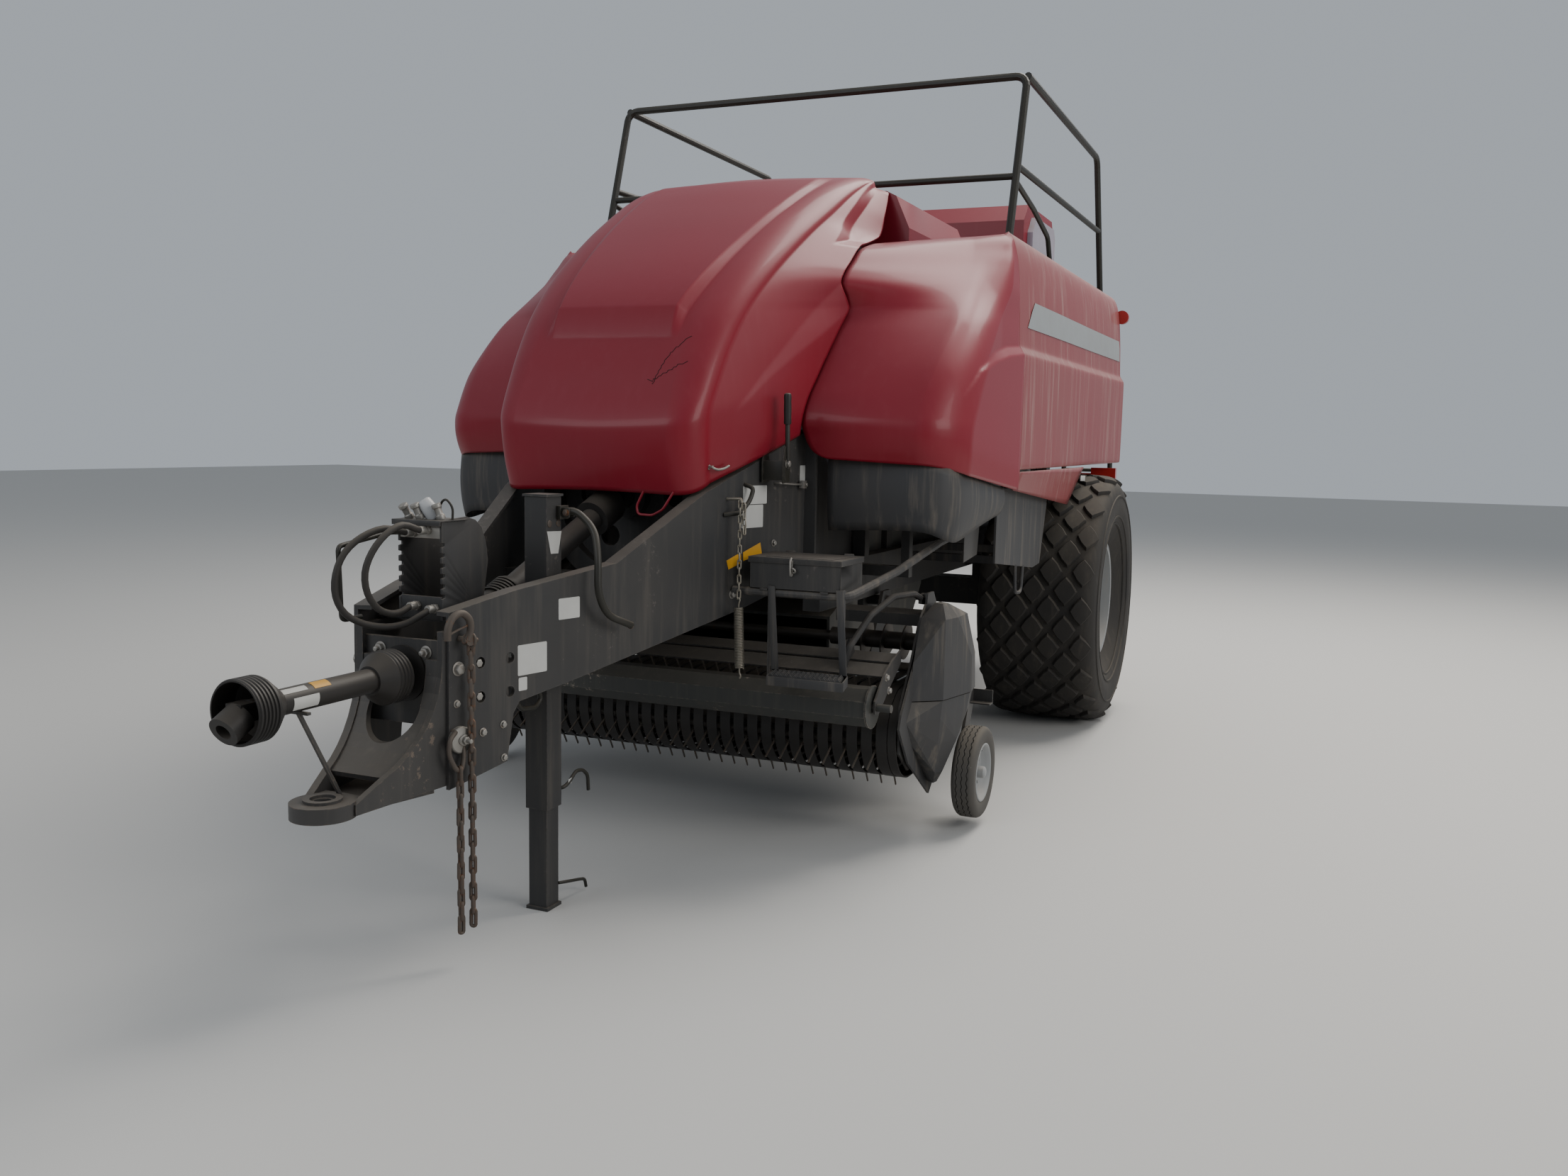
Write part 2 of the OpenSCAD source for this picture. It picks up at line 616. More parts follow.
// Bale chute: two side arms with rollers between them, hinged below the chamber's mouth
module chute() {
  color("#3c3f41")
    difference() {
      union() {
        both_sides() {
          box([chamber_half - 40, chute_y, chute_z - 21], [chamber_half, chute_y + chute_len, chute_z + 21]);
          box([chamber_half - 40, chute_y + 60, chute_z - 35], [chamber_half, chute_y + chute_len, chute_z]);
          translate([chamber_half - 40, chute_y, chute_z]) rotate([0, 90, 0]) cylinder(h = 40, r = 21, $fn = 48);
          for (i = [0 : 4])
            translate([0, chute_y + 150 + i * (chute_len - 200) / 4, chute_z])
              rotate([0, 90, 0]) cylinder(h = chamber_half - 20, r = 35, $fn = 40);
        }
        box([-chamber_half, chute_y + chute_len - 10, chute_z - 35],
          [chamber_half, chute_y + chute_len + 30, chute_z + 22]);
      }
      translate([-chamber_half - 10, chute_y, chute_z]) rotate([0, 90, 0])
        cylinder(h = bale_w + 20, r = 14 + run, $fn = 40);
    }
}

// The frame behind the panels, with the hinges of the hood and the side doors
hinge_y = -2125;
hinge_z = hood_top - 45;
door_hinge_x = body_half - 110;
door_hinge_z = body_top - 28;
deck_z = 2600;
frame_z = deck_z - 60;
outer_x = rail_half - 35;
door_hinge_ys = [-1700, -300, 800];
frame_rear = door_rear - 60;
hood_ear_x = 560;

module panel_frame() {
  front = -2420;
  below = frame_z - seat;
  above = deck_z + seat;
  color("#3c3f41") {
    box([-700, front, frame_z], [700, front + 60, deck_z]);
    box([-641, -2200, frame_z], [641, -2094, deck_z]);
    for (y = [-2080, -600, 600, frame_rear - 60]) box([-outer_x - 1, y, frame_z], [outer_x + 1, y + 60, deck_z]);
    both_sides() {
      box([640, front, frame_z], [700, frame_rear, deck_z]);
      box([outer_x, -2080, frame_z], [outer_x + 60, frame_rear, deck_z]);
      // Posts in front, and on the chamber's roof
      box([640, front, rail_high + seat], [700, front + 60, below]);
      for (y = [-600, 600]) box([540, y, chamber_top + chamber_t + seat], [600, y + 60, below]);
      // Upright and pad that carry the corner shield
      box([outer_x, -2080, 1700], [outer_x + 60, -2020, below]);
      box([outer_x + 60 + seat, -2070, 1880], [body_half - skin - seat, -2030, 2040]);
      // Hood hinge
      side_plate([[-2180, above], [-2095, above], [-2095, hinge_z + 14], [-2140, hinge_z + 14],
        [-2180, deck_z + 60]], hood_ear_x - 50, 15);
      translate([hood_ear_x - 40, hinge_y, hinge_z]) rotate([0, 90, 0]) cylinder(h = 60, r = 10, $fn = 40);
      // Door hinge lugs and pins
      for (y = door_hinge_ys) {
        cross_plate([[outer_x + 20, above], [outer_x + 60, above], [door_hinge_x + 12, door_hinge_z - 4],
          [door_hinge_x + 8, door_hinge_z + 8], [door_hinge_x - 8, door_hinge_z + 8]], y, 12);
        translate([door_hinge_x, y - 20, door_hinge_z]) rotate([-90, 0, 0]) cylinder(h = 52, r = 7, $fn = 40);
      }
    }
  }
}

// Shelves for the twine balls, behind the side doors: a back wall, three boards on each side
// and the dividers between them
module twine_boxes() {
  inner = rail_x + 30 + seat;
  outer = body_half - 110;
  low = 1640;
  bay = 545;
  tall = 425;
  long = 5 * bay + 12;
  color("#6f7272")
    both_sides() {
      box([inner, -1850, low], [inner + 12, -1850 + long, low + 2 * tall + 12]);
      for (row = [0 : 2]) box([inner + 12 + seat, -1850, low + row * tall], [outer, -1850 + long, low + row * tall + 12]);
      for (row = [0, 1]) for (k = [0 : 5])
        box([inner + 12 + seat, -1850 + k * bay, low + row * tall + 12 + seat],
          [outer, -1838 + k * bay, low + (row + 1) * tall - seat]);
    }
}

// One row of the hood, from its rear edge on one side, round the front, to the other side:
// front at yf, zf with half width wf and corner radius rc, corners at height zc, rear edge at yr, zr, wr
function hood_half(yf, zf, wf, rc, zc, yr, zr, wr) = concat(
  [for (t = [0 : 0.25 : 0.99]) lerp([wr, yr, zr], [wf, yf + rc, lerp(zc, zr, 0.2)], t) + [24 * sin(180 * t), 0, 0] * (wr - wf) / 200],
  [for (t = [0 : 0.2 : 0.99]) soft([wf, yf + rc, lerp(zc, zr, 0.2)], [wf - 4, yf + 6, zc], [wf - rc, yf - 6, lerp(zf, zc, 0.7)], t)],
  [for (t = [0 : 0.34 : 0.99]) soft([wf - rc, yf - 6, lerp(zf, zc, 0.7)], [(wf - rc) / 2, yf - 24, lerp(zf, zc, 0.1)], [0, yf - 26, zf], t)]);

function hood_row(r) =
  let(half = hood_half(r[0], r[1], r[2], r[3], r[4], r[5], r[6], r[7]))
  concat([for (p = half) [-p.x, p.y, p.z]], [[0, r[0] - 26, r[1]]],
    [for (i = [len(half) - 1 : -1 : 0]) half[i]]);

// front y, front z, half width, corner radius, corner z, rear y, rear z, rear half width
hood_rows = [
  [-3712, 1505, 405, 120, 1566, -3085, 1768, 622],
  [-3742, 1620, 440, 130, 1670, -3060, 1850, 640],
  [-3745, 1770, 470, 130, 1800, -3010, 1940, 660],
  [-3705, 1890, 480, 140, 1915, -2955, 2040, 678],
  [-3620, 2050, 490, 150, 2070, -2880, 2160, 692],
  [-3490, 2225, 505, 160, 2240, -2790, 2290, 700],
  [-3270, 2420, 530, 170, 2425, -2680, 2430, 704],
  [-2990, 2620, 555, 180, 2615, -2550, 2570, 705],
  [-2720, 2778, 575, 170, 2765, -2420, 2700, 700],
  [-2480, 2888, 585, 130, 2870, -2300, 2810, 690],
  [-2270, 2955, 590, 70, 2935, -2190, 2895, 675],
  [-2140, 2975, 590, 20, 2955, -2105, 2930, 665]];

hood_net = [for (r = hood_rows)
  hood_row([r[0], r[1] + hood_top - 2975, r[2], r[3], r[4] + hood_top - 2975, r[5], r[6] + hood_top - 2975, r[7]])];

module hood() {
  color("#a3121e") net_skin(hood_net, skin);
}

// The hood's own frame: a bar under its top with three pads, and the ears of its hinge
module hood_frame() {
  row = len(hood_net) - 2;
  mid = (len(hood_net[0]) - 1) / 2;
  bar_y = hood_net[row][mid].y + 12;
  bar_z = hood_net[row][mid].z - 62;
  color("#3c3f41") {
    bar([-hood_ear_x, bar_y, bar_z], [hood_ear_x, bar_y, bar_z], 12);
    for (i = [mid - 2, mid, mid + 2])
      let(p = hood_net[row][i], n = net_normal(hood_net, row, i), q = p - (skin + 0.8) * n) {
        bar(q, q - 9 * n, 7);
        bar(q - 5 * n, [q.x, bar_y, bar_z], 4);
      }
    both_sides()
      difference() {
        side_plate([[bar_y - 14, bar_z - 8], [hinge_y - 8, hinge_z - 16], [hinge_y + 15, hinge_z - 6],
          [hinge_y + 15, hinge_z + 6], [hinge_y - 8, hinge_z + 14], [bar_y - 14, bar_z + 8]], hood_ear_x - 6, 12);
        translate([hood_ear_x - 20, hinge_y, hinge_z]) rotate([0, 90, 0]) cylinder(h = 60, r = 10 + run, $fn = 40);
      }
  }
}

cover_front = -2075;
cover_rear = -1000;

// Cover over the plunger drive, between the hood and the knotters
module top_cover() {
  low = deck_z + seat;
  color("#a3121e")
    difference() {
      cross_plate([[-760, low], [760, low], [760, 2750], [690, 2905], [640, 2930], [-640, 2930], [-690, 2905], [-760, 2750]],
        cover_front, cover_rear - cover_front);
      cross_plate([[-748, low - 10], [748, low - 10], [748, 2747], [681, 2895], [637, 2918], [-637, 2918], [-681, 2895], [-748, 2747]],
        cover_front + 12, cover_rear - cover_front - 24);
      // The hood's hinge brackets pass below its front edge
      box([-700, cover_front - 5, low - 10], [700, cover_front + 20, low + 60]);
    }
}

knot_half = 900;
knot_front = -300;
knot_rear = 540;
knot_top = 3165;
deck_t = 34;

module knotter_cover() {
  low = deck_z + deck_t + 2 * seat;
  color("#a3121e")
    difference() {
      side_plate([[knot_front, low], [knot_rear, low], [knot_rear, 3080], [knot_rear - 60, knot_top],
        [knot_front + 110, knot_top], [knot_front, 3060]], -knot_half, 2 * knot_half);
      side_plate([[knot_front + 12, low - 10], [knot_rear - 12, low - 10], [knot_rear - 12, 3076], [knot_rear - 66, knot_top - 12],
        [knot_front + 115, knot_top - 12], [knot_front + 12, 3055]], -knot_half + 12, 2 * knot_half - 24);
    }
}

module knotter_ends() {
  color("#b9b4c0")
    both_sides()
      side_plate([[-200, 2740], [440, 2740], [440, 3040], [400, 3100], [-110, 3100], [-200, 3000]], knot_half + seat, 34);
}

// Walkway between the guard rails
module platform() {
  low = deck_z + seat;
  half = outer_x + 5;
  color("#4a4d4f")
    difference() {
      box([-half, cover_rear + 5, low], [half, frame_rear, low + deck_t]);
      box([-knot_half + 40, knot_front + 40, low - 10], [knot_half - 40, knot_rear - 40, low + deck_t + 10]);
    }
}

shield_rows = [
  // inner y, inner x, corner y, outer x, corner radius, height at the inner edge, at the seam
  [-2975, 690, -2700, 1316, 150, 1600, 1500],
  [-3025, 700, -2810, 1325, 160, 1700, 1640],
  [-3015, 712, -2815, 1325, 170, 1850, 1820],
  [-2915, 726, -2740, 1325, 180, 2100, 2060],
  [-2770, 740, -2610, 1312, 190, 2300, 2250],
  [-2580, 745, -2440, 1285, 180, 2470, 2425],
  [-2400, 740, -2280, 1250, 150, 2590, 2550],
  [-2270, 735, -2150, 1200, 110, 2660, 2635],
  [-2130, 728, -2040, 1140, 50, 2700, 2690]];

// One row of a corner shield, from its inner edge round the outer corner to the seam
function shield_row(r) =
  let(
    seam = -seam_reach - 4,
    out = r[3] + body_half - 1325,
    a = [r[1], r[0], r[5]],
    b = [out - r[4], r[2] + 10, lerp(r[5], r[6], 0.5)],
    c = [out, r[2] + r[4] * 0.4 + 30, lerp(r[5], r[6], 0.7)],
    d = [out, seam, r[6]])
  concat(
    [for (t = [0 : 0.25 : 0.99]) soft(a, lerp(a, b, 0.5) + [0, -16, 0], b, t)],
    [for (t = [0 : 0.2 : 0.99]) soft(b, [out - 8, r[2] + 16, lerp(r[5], r[6], 0.6)], c, t)],
    [for (t = [0 : 0.25 : 1]) lerp(c, d, t)]);

module shield() {
  color("#a3121e") net_skin([for (r = shield_rows) shield_row(r)], skin);
}
module shield_left() shield();
module shield_right() mirror([1, 0, 0]) shield();

// The side door's section: heights above its lower edge, and distances in from the outer face
door_rows = [[0, 8], [30, 0], [546, 0], [592, 28], [780, 34], [920, 43], [1050, 61], [1110, 82], [1130, 104]];

module door() {
  base = body_top - 1130;
  net = [for (r = door_rows)
    [for (k = [0 : 6]) [body_half - r[1], lerp(-seam_reach + 4, door_rear, k / 6), base + r[0]]]];
  color("#9c1520")
    difference() {
      union() {
        net_skin(net, skin);
        // Lower panel ahead of the wheel, with a slanted rear edge
        side_plate([[-seam_reach + 4, 1500], [-620, 1400], [-300, base + 2], [-seam_reach + 4, base + 2]],
          body_half - 10 - skin, skin);
        for (y = door_hinge_ys)
          cross_plate([[door_hinge_x - 12, door_hinge_z - 12], [door_hinge_x + 14, door_hinge_z - 14],
            [body_half - 84 - skin / 2, base + 1106], [body_half - 98, base + 1122], [door_hinge_x - 12, door_hinge_z + 12]], y + 14, 12);
      }
      for (y = door_hinge_ys)
        translate([door_hinge_x, y, door_hinge_z]) rotate([-90, 0, 0]) cylinder(h = 40, r = 7 + run, $fn = 40);
    }
}
module door_left() door();
module door_right() mirror([1, 0, 0]) door();

// Dark contoured panels below the corner shields
module skirts() {
  color("#4b4f54")
    both_sides() {
      net_skin([
        [[650, -2890, 1380], [880, -2840, 1375], [1010, -2780, 1370], [1130, -2640, 1390], [1205, -2440, 1410]],
        [[650, -2905, 1490], [880, -2860, 1470], [1030, -2795, 1460], [1160, -2650, 1455], [1235, -2440, 1450]],
        [[650, -2905, 1585], [880, -2860, 1540], [1040, -2795, 1522], [1165, -2650, 1505], [1240, -2440, 1490]]],
        skin);
      // Bracket back to the strut on the frame
      box([900, -2843, 1420], [940, -2480 - seat, 1470]);
      side_plate([[-2430, 1180], [-2200, 1200], [-2140, 1500], [-2430, 1530]], 1180, 10);
      box([940 + seat, -2470, 1430], [1181, -2440, 1470]);
      box([1150, -2470, 1400], [1190, -2425, 1500]);
    }
}

// Flaps that keep the tyres' dirt off the pickup, with the loop handle below
module wheel_flaps() {
  color("#55595d")
    both_sides() {
      side_plate([[-2080, 1150], [-1250, 1060], [-1080, 1070], [-960, 1370], [-930, 1490], [-2080, 1510]], 1235, 10);
      for (y = [-1800, -1150]) box([rail_x + rail_wide + seat, y, 1120], [1235 - seat, y + 40, 1160]);
      pipe([[1240, -1640, 1110], [1240, -1620, 960], [1240, -1490, 950], [1240, -1470, 1090]], 9, 40);
    }
}

rail_front = -1450;
rail_r = rail_d / 2;

// Guard rails round the platform: a raked hoop in front, and a top and a middle rail on each side
module guard_rails() {
  foot = [rail_half, -1750, deck_z + 12];
  rear_foot = [rail_half, frame_rear - 50, deck_z + 12];
  color("#22241f") {
    pipe([foot, [rail_half, rail_front, rail_h], [-rail_half, rail_front, rail_h], [-foot.x, foot.y, foot.z]], rail_r, 60);
    bar([-rail_half, -1611, 3055], [rail_half, -1611, 3055], rail_r * 0.85);
    both_sides() {
      pipe([[rail_half, rail_front + 10, rail_h], [rail_half, 560, rail_h - 10], rear_foot], rail_r, 90);
      bar([rail_half, -1595, 3110], [rail_half, 741, 3130], rail_r * 0.85);
      // Curved brace from the front post down to the deck
      pipe([[rail_half, -1622, 3032], [rail_half, -1200, 2962], [rail_half, -820, 2870], [rail_half, -664, deck_z + 10]], rail_r * 0.7, 90);
      for (y = [foot.y, -664, rear_foot.y]) box([rail_half - 24, y - 35, deck_z + seat], [rail_half + 24, y + 35, deck_z + 12]);
    }
  }
}

module ladder() {
  y = chamber_rear - 220;
  stile = [820, 1160];
  color("#22241f") {
    for (x = stile) bar([x, y, 900], [x, y - 250, 2700], 18);
    for (k = [0 : 6]) bar([stile[0], y - 21 - 33 * k, 1050 + 240 * k], [stile[1], y - 21 - 33 * k, 1050 + 240 * k], 14);
    bar([rail_x + rail_wide + seat, y - 28, 1100], [stile[0], y - 28, 1100], 20);
  }
}

jack_y = -4290;
leg_side = 76;

module jack_tube() {
  s = jack_side / 2;
  inner_face = tongue_x(-jack_y + 30) - tongue_t / cos(plate_turn) - seat;
  color("#2e3031") {
    difference() {
      box([jack_x - s, jack_y - s, 380], [jack_x + s, jack_y + s, 1515]);
      box([jack_x - s + 7.4, jack_y - s + 7.4, 370], [jack_x + s - 7.4, jack_y + s - 7.4, 1500]);
    }
    box([jack_x - s - 6, jack_y - s - 6, 1514], [jack_x + s + 6, jack_y + s + 6, 1522]);
    // Brackets to the tongue plate
    for (z = [960, 1120]) box([jack_x + s - 2, jack_y - 30, z], [inner_face, jack_y + 30, z + 60]);
  }
}

module jack_leg() {
  s = leg_side / 2;
  color("#1e1f20") {
    box([jack_x - s, jack_y - s, 10], [jack_x + s, jack_y + s, 900]);
    box([jack_x - s - 8, jack_y - s - 8, 0], [jack_x + s + 8, jack_y + s + 8, 12]);
  }
}

module jack_crank() {
  y = jack_y + jack_side / 2 + seat;
  color("#2e3031") {
    pipe([[jack_x, y, 1455], [jack_x, y + 110, 1455], [jack_x, y + 170, 1270], [jack_x, y + 290, 1150],
      [jack_x, y + 330, 1020], [jack_x, y + 500, 975]], 13, 34);
  }
}

// Twin notched plates above the bearing, on a plate between the tongue plates, with the valve
// block and the front plate that the hoses come from
module hose_rack() {
  color("#3a3c3c") {
    for (x = [-95, 75])
      difference() {
        side_plate([[-4770, 1120], [-4560, 1120], [-4520, 1300], [-4560, 1420], [-4640, 1455], [-4770, 1450]], x, 8);
        for (z = [1210 : 34 : 1360]) translate([x - 5, -4770, z]) rotate([0, 90, 0]) cylinder(h = 20, r = 10, $fn = 24);
      }
    linear_extrude_between(1112, 1122)
      polygon(cheek_span(4760, 4580, 0));
    box([-90, -4770, 1385], [77, -4690, 1442]);
    box([-90, -4768, 1121], [77, -4758, 1196]);
    pipe([[-94, -4765, 1400], [-112, -5060, 1420], [-150, -5250, 1400], [-150, -5240, 1190], [-122, -5080, 1170]], 7, 30);
  }
}

// Hoses looped from the valve block round to the rack's front plate
upper_hose = [[-30, -4771, 1405], [-31, -4812, 1408], [-48, -4890, 1424], [-74, -4965, 1400], [-96, -5020, 1352],
  [-106, -5050, 1286], [-106, -5052, 1218], [-94, -5024, 1160], [-66, -4972, 1124], [-26, -4916, 1110],
  [14, -4868, 1118], [44, -4832, 1142], [54, -4800, 1157], [54, -4769, 1158]];
lower_hose = [[26, -4771, 1415], [26.5, -4812, 1418], [24, -4890, 1438], [13, -4955, 1412], [-4, -5000, 1358],
  [-16, -5020, 1294], [-18, -5008, 1228], [-12, -4968, 1176], [-7, -4910, 1154], [-12, -4855, 1154],
  [-19, -4812, 1163], [-20, -4769, 1164]];

module hoses() {
  color("#17181a") for (route = [upper_hose, lower_hose]) sweep(smooth_path(route, 3), 11, 12);
}

chain_pitch = 45;
chain_wire = 6.5;

// Safety chain: two strands of links that hang from the hook beside the head, and its tag link
module safety_chain() {
  x = tongue_x(4825) + 33;
  x2 = tongue_x(4868) + seat + 27.9;
  long = chain_pitch + 1.42 * chain_wire + seat;
  color("#6b5f55") {
    for (k = [0 : 21]) translate([x, -4825, 1060 - k * chain_pitch]) rotate([0, 0, 90 * (k % 2) + 20]) link(long, 26, chain_wire);
    for (k = [0 : 12]) translate([x2, -4868, 652 - k * chain_pitch]) rotate([0, 0, 90 * (k % 2) - 20]) link(long, 26, chain_wire);
    // Hook and shackle on the plate
    pipe([[tongue_x(4825) + seat + 1.9, -4825, 1100], [x + 8, -4825, 1108], [x + 10, -4825, 1092]], 8, 8);
    pipe([[x2 - 26, -4868, 700], [x2 - 2, -4868, 704], [x2 + 6, -4868, 686]], 8, 6);
  }
}

toolbox_x = 590;
toolbox_w = 340;
toolbox_low = 1134.5;
toolbox_high = 1258;
tube_y = -3470;
tube_z = 1118;

lid_y = -3221;
lid_z = toolbox_high + 2;
lid_xs = [toolbox_x + 40, toolbox_x + toolbox_w - 80];

module toolbox() {
  color("#4b4f54") {
    difference() {
      box([toolbox_x, -3485, toolbox_low], [toolbox_x + toolbox_w, -3235, toolbox_high]);
      box([toolbox_x + 4, -3481, toolbox_low + 4], [toolbox_x + toolbox_w - 4, -3239, toolbox_high + 10]);
    }
    // Lugs and pins of the lid's hinges
    for (x = lid_xs) {
      for (lug = [x - 8, x + 42])
        side_plate([[-3236, toolbox_high - 24], [lid_y + 6, toolbox_high - 14], [lid_y + 6, lid_z + 5],
          [lid_y - 5, lid_z + 5], [lid_y - 5, toolbox_high - 10], [-3236, toolbox_high - 12]], lug, 6);
      translate([x - 8, lid_y, lid_z]) rotate([0, 90, 0]) cylinder(h = 56, r = 4, $fn = 40);
    }
  }
}

module toolbox_lid() {
  color("#4b4f54")
    difference() {
      union() {
        difference() {
          box([toolbox_x - 4, -3489, toolbox_high - 14], [toolbox_x + toolbox_w + 4, -3232, toolbox_high + seat + 3]);
          box([toolbox_x - seat, -3485 - seat, toolbox_high - 20], [toolbox_x + toolbox_w + seat, -3230, toolbox_high + seat]);
          box([toolbox_x - 10, -3240, toolbox_high - 20], [toolbox_x + toolbox_w + 10, -3225, toolbox_high + seat]);
        }
        for (x = lid_xs) {
          box([x, -3234, toolbox_high + seat], [x + 40, lid_y, toolbox_high + seat + 3]);
          translate([x, lid_y, lid_z]) rotate([0, 90, 0]) cylinder(h = 40, r = 8, $fn = 40);
        }
      }
      for (x = lid_xs) translate([x - 5, lid_y, lid_z]) rotate([0, 90, 0]) cylinder(h = 50, r = 4 + run, $fn = 40);
    }
}

module step_frame() {
  front = tube_y - 17 - seat;
  color("#3c3f41") {
    for (x = [700, 990]) box([x - 25, front - 12, 745], [x + 25, front, 1130]);
    box([675, front - 125, 740], [1015, front, 752]);
    for (x = [675, 1009]) box([x, front - 125, 740], [x + 6, front, 775]);
    box([675, front - 125, 740], [1015, front - 119, 775]);
    // Serrated tread
    for (x = [690 : 24 : 1000]) translate([x, front - 119, 750]) rotate([-90, 0, 0])
      linear_extrude(112) polygon([[-10, 0], [0, -22], [10, 0]]);
  }
}

// The tube that carries toolbox and step, and sweeps back and up as a hand rail
module hand_rail() {
  color("#55595d")
    pipe([[tongue_x(-tube_y) + seat + 4, tube_y, tube_z], [1010, tube_y, tube_z], [1085, -3100, 1190],
      [1150, -2700, 1290], [1262, -2300, 1390], [1262, -2270, 1470]], 17, 60);
}

// Parking brake lever on its bracket
module brake_lever() {
  y = -3270;
  x = tongue_x(-y - 30) + seat;
  color("#1c1c1c") {
    side_plate([[y - 30, 1560], [y + 30, 1560], [y + 30, 1690], [y - 10, 1700], [y - 30, 1660]], x + 16, 90);
    box([x, y - 28, 1570], [x + 18, y + 28, 1680]);
    bar([x + 95, y, 1640], [x + 97, y - 14, 1905], 11);
    bar([x + 97, y - 13, 1780], [x + 97, y - 15, 1905], 15);
  }
}

// Spring and chain that lighten the windguard
module lift_spring() {
  x = 560;
  y = tube_y - 44;
  color("#4a4a48") {
    for (z = [800 : 12 : 1040]) translate([x, y, z]) tube_ring(12, 21, 7);
    bar([x, y, 770], [x, y, 1075], 13);
    for (k = [0 : 8]) translate([x, y, 1090 + k * chain_pitch]) rotate([0, 0, 90 * (k % 2)])
      link(chain_pitch + 1.42 * 4 + seat, 20, 4);
    pipe([[tongue_x(-y) + seat + 1.5, y, 1488], [x + 4, y, 1490], [x + 6, y, 1478]], 6, 6);
  }
}

side_x = pickup_w / 2 + 30;

// Side plates, cross tube and lift arms of the pickup, with the cover plates over its augers
// and the gauge wheels' arms
module pickup_frame() {
  arm = gauge_x - gauge_w / 2 - 23;
  color("#4b4f54") {
    both_sides() {
      difference() {
        side_plate([[-3130, 620], [-2990, 800], [-2900, 950], [-2800, 1000], [-2785, 1072], [-2700, 1072],
          [-2640, 1000], [-2480, 950], [-2400, 880], [-2370, 520], [-2480, 360], [-3000, 330], [-3130, 430]], side_x, 10);
        translate([side_x - 10, reel_y, reel_z]) rotate([0, 90, 0]) cylinder(h = 30, r = 24, $fn = 40);
      }
      translate([side_x - 40, wind_y, wind_z]) rotate([0, 90, 0]) cylinder(h = 45, r = 12, $fn = 40);
      // Cover plate over the auger, with a folded front edge
      box([rail_x + rail_wide + 24, -2830, 974], [side_x + 5, -2650, 980]);
      box([rail_x + rail_wide + 24, -2830, 930], [side_x + 5, -2824, 980]);
      // Lift arm
      difference() {
        side_plate([[-2560, 380], [-2500, 380], [-2150, 900], [-2150, 1000], [-2250, 1000], [-2290, 930], [-2560, 480]],
          rail_x + rail_wide + 30, 16);
        translate([rail_x + rail_wide, lift_y, lift_z]) rotate([0, 90, 0]) cylinder(h = 60, r = 25 + run, $fn = 48);
      }
      // Pads under the side shield
      for (p = [[-3050, 500], [-2750, 500], [-2800, 800], [-2500, 700]])
        box([side_x + 9, p.x - 20, p.y - 20], [side_x + 20 - seat, p.x + 20, p.y + 20]);
      // Gauge wheel arm and stub axle
      translate([side_x + 5, -2405, 560]) rotate([0, 90, 0]) cylinder(h = arm - side_x, r = 22, $fn = 40);
      box([arm + 5, -2440, 530], [gauge_x + 30, -2385, 536]);
      box([arm + 5, -2391, 530], [gauge_x + 30, -2385, 592]);
      side_plate([[-2375, 592], [-2440, 592], [gauge_y - 32, gauge_z + 10], [gauge_y - 24, gauge_z - 30],
        [gauge_y + 20, gauge_z - 30], [-2375, 540]], arm, 14);
      translate([arm + 5, gauge_y, gauge_z]) rotate([0, 90, 0]) cylinder(h = gauge_x + gauge_w / 2 - arm - 5, r = 15, $fn = 40);
    }
    box([-side_x - 5, -2560, 400], [side_x + 5, -2500, 460]);
  }
}

band_back = -2540;

// Rounded steel bands between the tines, on a deck plate above and a bar below
module pickup_bands() {
  deck_half = side_x - seat;
  color("#2c2e30") {
    for (i = [0 : band_count - 1])
      translate([-reel_half + i * band_pitch - band_w / 2, reel_y, reel_z])
        rotate([90, 0, 90]) linear_extrude(band_w)
          difference() {
            union() {
              circle(r = band_r, $fn = 64);
              translate([0, -band_r]) square([band_back - reel_y, 2 * band_r]);
            }
            circle(r = band_r - 5, $fn = 64);
            translate([0, -band_r + 5]) square([600, 2 * band_r - 10]);
          }
    // End drums between the last bands and the side plates
    both_sides()
      translate([reel_half + band_w / 2 + 3, reel_y, reel_z]) rotate([90, 0, 90])
        linear_extrude(deck_half - reel_half - band_w / 2 - 3)
          difference() {
            union() {
              circle(r = band_r - 1, $fn = 64);
              translate([0, -band_r + 1]) square([band_back - reel_y, 2 * band_r - 2]);
            }
            circle(r = band_r - 7, $fn = 64);
            translate([0, -band_r + 7]) square([600, 2 * band_r - 14]);
          }
    box([-deck_half, -2640, reel_z + band_r - 2], [deck_half, -2445, reel_z + band_r + 5]);
    box([-deck_half, -2600, reel_z - band_r - 4], [deck_half, -2545, reel_z - band_r + 2]);
  }
}

tine_bar_r = 120;

